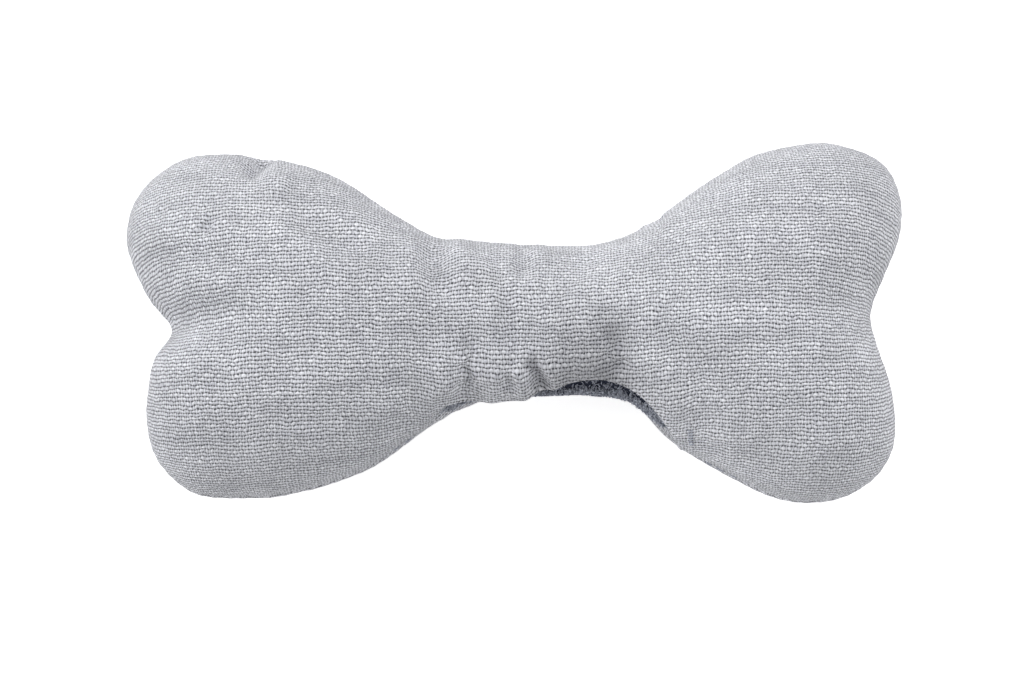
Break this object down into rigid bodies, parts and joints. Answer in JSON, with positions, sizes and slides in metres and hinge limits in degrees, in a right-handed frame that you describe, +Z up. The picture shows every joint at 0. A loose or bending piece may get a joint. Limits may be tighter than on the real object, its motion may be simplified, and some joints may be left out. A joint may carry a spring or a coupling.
{
  "type": "plush bone dog toy",
  "caption": "Stuffed linen bone for a dog, with a hook-and-loop mouth along one side of its waist and a squeaker behind it.",
  "frame": {"origin": "on the floor, under the middle of the bone's outline", "axes": "+X along the bone, +Y away from the side with the mouth, +Z up from the back panel to the front panel"},
  "size_m": [0.1552, 0.0724, 0.0425],
  "materials": {
    "linen": "coarse plain weave, matt",
    "loop_pile": "brushed loop pile",
    "hook_nylon": "hooked tape",
    "fibre": "loose carded fibre",
    "polythene": "blow moulded",
    "reed_film": "thin film"
  },
  "bodies": {
    "bone": {"front_panel": "linen", "back_panel": "linen", "loop_tape": "loop_pile", "fill_waist": "fibre", "fill_knob_left_far": "fibre", "fill_knob_left_near": "fibre", "fill_knob_right_far": "fibre", "fill_knob_right_near": "fibre", "squeaker_bulb": "polythene", "squeaker_whistle": "polythene", "squeaker_reed": "reed_film"},
    "flap": {"closure_flap": "linen", "hook_tape": "hook_nylon"}
  },
  "joints": [
    {"name": "flap_peel", "type": "hinge", "parent": "bone", "child": "flap", "pos_m": [0.0075, -0.00449, 0.03702], "axis": [-1, 0, 0], "range_deg": [0, 60]}
  ]
}
